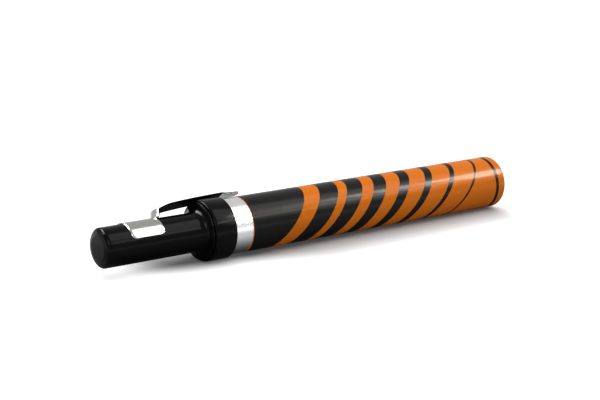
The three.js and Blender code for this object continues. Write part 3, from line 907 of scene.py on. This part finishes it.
def makeBarrel():
    s = barrelSizes
    corner = s["radius"] - s["edgeRadius"]
    inside = s["rear"] - s["endWall"]
    face = s["rear"] - s["endSunk"]
    dimple = s["rear"] - s["dimpleDepth"]
    outline = rounded([
        (s["mouth"], s["bore"], 0.1), (s["mouth"], s["radius"], 0.2), (s["edge"], s["radius"], 0)])[:-1]
    outline.append((s["sideEnd"], s["radius"]))
    outline += ellipse(s["edge"], s["edgeRadius"], corner, corner, 90, 4, 12)
    outline += rounded([
        (face, s["edgeRadius"], 0), (face, s["dimpleRadius"] + s["dimpleBevel"], 0.1),
        (dimple, s["dimpleRadius"], 0.1), (dimple, 0, 0)])[1:]
    outline += rounded([(inside, 0, 0), (inside, s["bore"], 0.7), (s["mouth"], s["bore"], 0)])
    turnPiece("barrel_can", "barrel", "body", "bare_aluminium", outline, s["turns"])


def makeLacquer():
    s = barrelSizes
    under = s["lacquerRadius"] - s["lacquerDepth"]
    corner = s["lacquerRadius"] - s["edgeRadius"]
    inCorner = corner - s["lacquerDepth"]
    outer = [(s["printFront"], under), (s["printFront"] + s["lacquerEdge"], s["lacquerRadius"]),
             (s["sideEnd"], s["lacquerRadius"])]
    outer += ellipse(s["edge"], s["edgeRadius"], corner, corner, 90, 2, 14)
    inner = ellipse(s["edge"], s["edgeRadius"], inCorner, inCorner, 2, 90, 14) + [(s["printFront"], under)]
    turnPiece("barrel_lacquer", "printed_sleeve", "body", "orange_print", outer + inner, s["turns"])


makeBarrel()
makeLacquer()

# A plain print: a black block at the front, then slanted bars that thin out towards the rear.
# A slant is how far an edge leans back at the top, so that the edge goes round as on an oblique cut.
printSizes = {
    "blockFront": 45.6, "blockRear": 60.0, "slant": 6.5,
    "barStart": 69.0, "barCount": 7, "barPitch": 9.6, "firstWidth": 6.8, "lastWidth": 0.9,
    "ringFront": 138.4, "ringRear": 139.6, "ringSegments": 192, "seam": 0.001,
}


# Rings round a cylinder, cut on a slant, each narrower than the one before.
def barTree():
    floats = ("Start", "Pitch", "First Width", "Last Width", "Slant", "Radius", "Thickness", "Seam")
    tree, size, out = newTree("slantedBars", "GeometryNodeTree", {
        "Count": "Int", "Segments": "Int", **{label: "Float" for label in floats},
        "Ink": "Material"}, {"Geometry": "Geometry"})
    calculate = mathIn(tree)
    index = addNode(tree, "GeometryNodeInputIndex")
    spot = addNode(tree, "ShaderNodeCombineXYZ", {
        "X": calculate("ADD", size["Start"], calculate("MULTIPLY", index, size["Pitch"]))})
    spots = addNode(tree, "GeometryNodePoints", {"Count": size["Count"], "Position": spot})
    width = addNode(tree, "ShaderNodeMapRange", {
        "Value": index, "From Max": calculate("SUBTRACT", size["Count"], 1.0),
        "To Min": size["First Width"], "To Max": size["Last Width"]})
    scale = addNode(tree, "ShaderNodeCombineXYZ", {"X": width, "Y": 1.0, "Z": 1.0})
    flatBar = addNode(tree, "GeometryNodeMeshGrid", {
        "Size X": 1.0, "Size Y": 2 * math.pi, "Vertices X": 2, "Vertices Y": size["Segments"]})
    bars = addNode(tree, "GeometryNodeInstanceOnPoints", {
        "Points": spots, "Instance": flatBar, "Scale": scale})
    flat = addNode(tree, "GeometryNodeRealizeInstances", {"Geometry": bars})
    split = addNode(tree, "ShaderNodeSeparateXYZ", {0: addNode(tree, "GeometryNodeInputPosition")}).outputs
    up = calculate("COSINE", split["Y"])
    wrapped = addNode(tree, "ShaderNodeCombineXYZ", {
        "X": calculate("ADD", split["X"], calculate("MULTIPLY", up, size["Slant"])),
        "Y": calculate("MULTIPLY", calculate("SINE", split["Y"]), size["Radius"]),
        "Z": calculate("MULTIPLY", up, size["Radius"])})
    laid = addNode(tree, "GeometryNodeSetPosition", {"Geometry": flat, "Position": wrapped})
    sewn = addNode(tree, "GeometryNodeMergeByDistance", {"Geometry": laid, "Distance": size["Seam"]})
    outward = addNode(tree, "GeometryNodeFlipFaces", {"Mesh": sewn})
    raised = addNode(tree, "GeometryNodeExtrudeMesh", {
        "Mesh": sewn, "Offset Scale": size["Thickness"], "Individual": False})
    both = addNode(tree, "GeometryNodeJoinGeometry")
    for layer in (raised, outward):
        setInputs(both, {0: layer})
    closed = addNode(tree, "GeometryNodeMergeByDistance", {"Geometry": both, "Distance": size["Seam"]})
    endTree(tree, closed, size["Ink"], out)
    return tree


def makeBars():
    s = printSizes
    made = makeFromTree("printed_bars", barTree(), {
        "Count": s["barCount"], "Segments": s["ringSegments"] + 1, "Start": s["barStart"],
        "Pitch": s["barPitch"], "First Width": s["firstWidth"], "Last Width": s["lastWidth"],
        "Slant": s["slant"], "Radius": barrelSizes["lacquerRadius"],
        "Thickness": barrelSizes["inkRadius"] - barrelSizes["lacquerRadius"],
        "Seam": s["seam"], "Ink": blackInk})
    mergeAndTurnOut(made, sharpAngle=40)
    settle(made, "body", "orange_print", finish=blackInk)


makeBars()


def makeInkRing(name, front, rear, rearSlant=0):
    low, high = barrelSizes["lacquerRadius"], barrelSizes["inkRadius"]
    count = printSizes["ringSegments"]
    points, faces = [], []
    for along, radius, slant in (
            (front, low, 0), (front, high, 0), (rear, high, rearSlant), (rear, low, rearSlant)):
        for turn in evenTurns(count):
            points.append(onPen(along + slant * math.cos(math.radians(turn)), radius, turn))
    for corner in range(4):
        start, ahead = corner * count, (corner + 1) % 4 * count
        for i in range(count):
            j = (i + 1) % count
            faces.append((start + i, start + j, ahead + j, ahead + i))
    made = toObject(name, points, faces)
    mergeAndTurnOut(made, sharpAngle=40)
    settle(made, "body", "orange_print", finish=blackInk)


makeInkRing("printed_block", printSizes["blockFront"], printSizes["blockRear"], printSizes["slant"])
makeInkRing("printed_rear_ring", printSizes["ringFront"], printSizes["ringRear"])
print("barrel: done")


# The stage, the light and the camera

# A glow is its nearest and farthest distance from the pen in millimetres and its strength at each. The
# glow lifts the floor away from the pen and so cuts the pen's real shadow to its shape: painted light
# around the shadow. The lean moves the middle line of what is seen, and the shadow with it, by 0.01 m
# towards +Y, from X = 0 to X = -36 mm. The mirrored ramps are what reflections show of the floor
# instead of its lit shade: a painted shadow near the pen and a painted glow further out.
floorLook = {
    "halfSize": 3, "colour": (0.5, 0.5, 0.5), "bounce": (0.45, 0.45, 0.45),
    "contactFront": -39, "contactRear": 62, "contactFade": 1.6, "lean": (0, -36, 0, 0.01),
    "glow": (9, 26, 0.05, 0.8), "farGlow": (60, 400, 0, 0.5),
    "shadeFront": -60, "shadeRear": 71, "shadeFade": 1.0,
    "mirroredPaintedShadow": (3, 20, 0.03, 0.62), "farMirroredPaintedGlow": (22, 90, 0, 1.1),
}


# A node tree emptied for a shader of its own.
def emptyTree(owner):
    owner.use_nodes = True
    owner.node_tree.nodes.clear()
    return owner.node_tree


def ramp(tree, distance, nearest, farthest, low, high):
    return addNode(tree, "ShaderNodeMapRange", {
        "Value": distance, "From Min": nearest / 1000, "From Max": farthest / 1000,
        "To Min": low, "To Max": high}, interpolation_type="SMOOTHSTEP")


# A floor whose lit shadow stays for the camera, and which glows further out, so that the background is
# white. Reflections see no lit floor but an emission with a painted shadow near the pen, and diffuse rays
# see a darker bounce colour, which darkens the pen's underside.
def makeFloor():
    s = floorLook
    half = s["halfSize"]
    floor = toObject("floor", [(-half, -half, 0), (half, -half, 0), (half, half, 0), (-half, half, 0)],
                     [(0, 1, 2, 3)])
    material = bpy.data.materials.new("paleFloor")
    tree = emptyTree(material)
    calculate = mathIn(tree)
    path = addNode(tree, "ShaderNodeLightPath").outputs
    paint = addNode(tree, "ShaderNodeBsdfDiffuse", {
        "Color": blendColours(tree, path["Is Diffuse Ray"], s["colour"], s["bounce"])})
    place = addNode(tree, "ShaderNodeTexCoord")
    split = addNode(tree, "ShaderNodeSeparateXYZ", {0: place.outputs["Object"]}).outputs
    leaning = calculate("SUBTRACT", split["Y"], ramp(tree, split["X"], *s["lean"]))

    def glowFrom(front, rear, fade, sideways, near, far):
        before = calculate("SUBTRACT", front / 1000, split["X"])
        behind = calculate("MULTIPLY", calculate("SUBTRACT", split["X"], rear / 1000), fade)
        past = calculate("MAXIMUM", calculate("MAXIMUM", before, behind), 0.0)
        flat = addNode(tree, "ShaderNodeCombineXYZ", {"X": past, "Y": sideways})
        length = addNode(tree, "ShaderNodeVectorMath", {0: flat}, operation="LENGTH")
        away = length.outputs["Value"]
        strength = calculate("ADD", ramp(tree, away, *near), ramp(tree, away, *far))
        return addNode(tree, "ShaderNodeEmission", {"Strength": strength})

    glow = glowFrom(s["contactFront"], s["contactRear"], s["contactFade"], leaning, s["glow"], s["farGlow"])
    # painted shadow: the floor as reflections see it, an emission that is dark near the pen and bright far
    # out
    mirroredPaintedShadow = glowFrom(
        s["shadeFront"], s["shadeRear"], s["shadeFade"], split["Y"], s["mirroredPaintedShadow"], s["farMirroredPaintedGlow"])
    seen = calculate("MAXIMUM", path["Is Camera Ray"], path["Is Transmission Ray"])
    lit = addNode(tree, "ShaderNodeAddShader", {0: paint, 1: glow})
    toCamera = addNode(tree, "ShaderNodeMixShader", {0: seen, 1: paint, 2: lit})
    mix = addNode(tree, "ShaderNodeMixShader", {0: path["Is Glossy Ray"], 1: toCamera, 2: mirroredPaintedShadow})
    addNode(tree, "ShaderNodeOutputMaterial", {"Surface": mix})
    floor.data.materials.append(material)


makeFloor()

worldLook = {"horizon": 1.0, "overhead": 0.78, "horizonTop": 0.02, "overheadFrom": 0.42, "fill": 0.26}


# White at the horizon and greyer overhead, for what the pen reflects.
def makeWorld():
    s = worldLook
    world = bpy.data.worlds.new("studio")
    bpy.context.scene.world = world
    tree = emptyTree(world)
    calculate = mathIn(tree)
    place = addNode(tree, "ShaderNodeTexCoord")
    split = addNode(tree, "ShaderNodeSeparateXYZ", {0: place.outputs["Generated"]})
    height = addNode(tree, "ShaderNodeMapRange", {
        "Value": split.outputs["Z"], "From Min": s["horizonTop"], "From Max": s["overheadFrom"],
        "To Min": s["horizon"], "To Max": s["overhead"]}, interpolation_type="SMOOTHSTEP")
    seen = addNode(tree, "ShaderNodeBackground", {"Strength": height})
    lighting = addNode(tree, "ShaderNodeBackground", {"Strength": s["fill"]})
    path = addNode(tree, "ShaderNodeLightPath").outputs
    direct = calculate("MAXIMUM", path["Is Camera Ray"], path["Is Glossy Ray"])
    through = calculate("MAXIMUM", direct, path["Is Transmission Ray"])
    mix = addNode(tree, "ShaderNodeMixShader", {0: through, 1: lighting, 2: seen})
    addNode(tree, "ShaderNodeOutputWorld", {"Surface": mix})


makeWorld()

# Each lamp: the point it faces, the way to it, its distance, size, power and tint. The overhead
# one lights surfaces and isn't mirrored. The others only show in reflections.
lamps = {
    "overhead": {
        "aim": (0, 0, 0), "way": (0.05, -0.2, 1.0), "distance": 0.9, "size": (1.8, 1.4), "power": 16.0},
    "softbox": {
        "aim": (0, 0, 0.01), "way": (0.58, -0.42, 0.65), "distance": 0.8, "size": (0.5, 0.77), "power": 3.7},
    "strip": {
        "aim": (0, 0, 0.01), "way": (0.58, -0.65, 0.49), "distance": 0.8, "size": (0.8, 0.045), "power": 1.1},
    "topBox": {
        "aim": (-0.05, 0, 0.01), "way": (-0.42, 0.53, 0.74), "distance": 0.8, "size": (0.55, 0.3),
        "power": 13.0},
    "leftBox": {
        "aim": (-0.05, 0, 0.01), "way": (-0.79, -0.41, 0.45), "distance": 0.8, "size": (0.35, 0.3),
        "power": 1.6},
    "glint": {
        "aim": (0.075, -0.006, 0.013), "way": (0.664, -0.45, 0.6), "distance": 0.6, "size": (0.16, 0.17),
        "power": 3.0, "tint": (1, 0.93, 0.78)},
}


def makeLamps():
    for name, lamp in lamps.items():
        light = bpy.data.lights.new(name, "AREA")
        light.shape = "RECTANGLE"
        light.size, light.size_y = lamp["size"]
        light.energy = lamp["power"]
        light.color = lamp.get("tint", (1, 1, 1))
        made = bpy.data.objects.new(name, light)
        bpy.context.scene.collection.objects.link(made)
        made.visible_diffuse = name == "overhead"
        made.visible_glossy = not made.visible_diffuse
        way = Vector(lamp["way"]).normalized()
        made.location = Vector(lamp["aim"]) + way * lamp["distance"]
        level = Vector((0, 0, 1)).cross(way).normalized()
        made.rotation_euler = Matrix((level, way.cross(level), way)).transposed().to_euler()


makeLamps()

cameraPlace = {
    "location": (-0.265394, -0.351209, 0.119267), "azimuth": -36.656, "elevation": 13.684,
    "lens": 92.78, "sensorWidth": 36,
}


def makeCamera():
    s = cameraPlace
    data = bpy.data.cameras.new("camera")
    data.lens = s["lens"]
    data.sensor_width = s["sensorWidth"]
    data.clip_start = 0.01
    camera = bpy.data.objects.new("camera", data)
    bpy.context.scene.collection.objects.link(camera)
    azimuth, elevation = math.radians(s["azimuth"]), math.radians(s["elevation"])
    back = Vector((math.sin(azimuth) * math.cos(elevation),
                   -math.cos(azimuth) * math.cos(elevation), math.sin(elevation)))
    camera.location = s["location"]
    camera.rotation_euler = (-back).to_track_quat("-Z", "Y").to_euler()
    bpy.context.scene.camera = camera


makeCamera()
bpy.context.scene.view_settings.view_transform = "Standard"
print("stage: done")
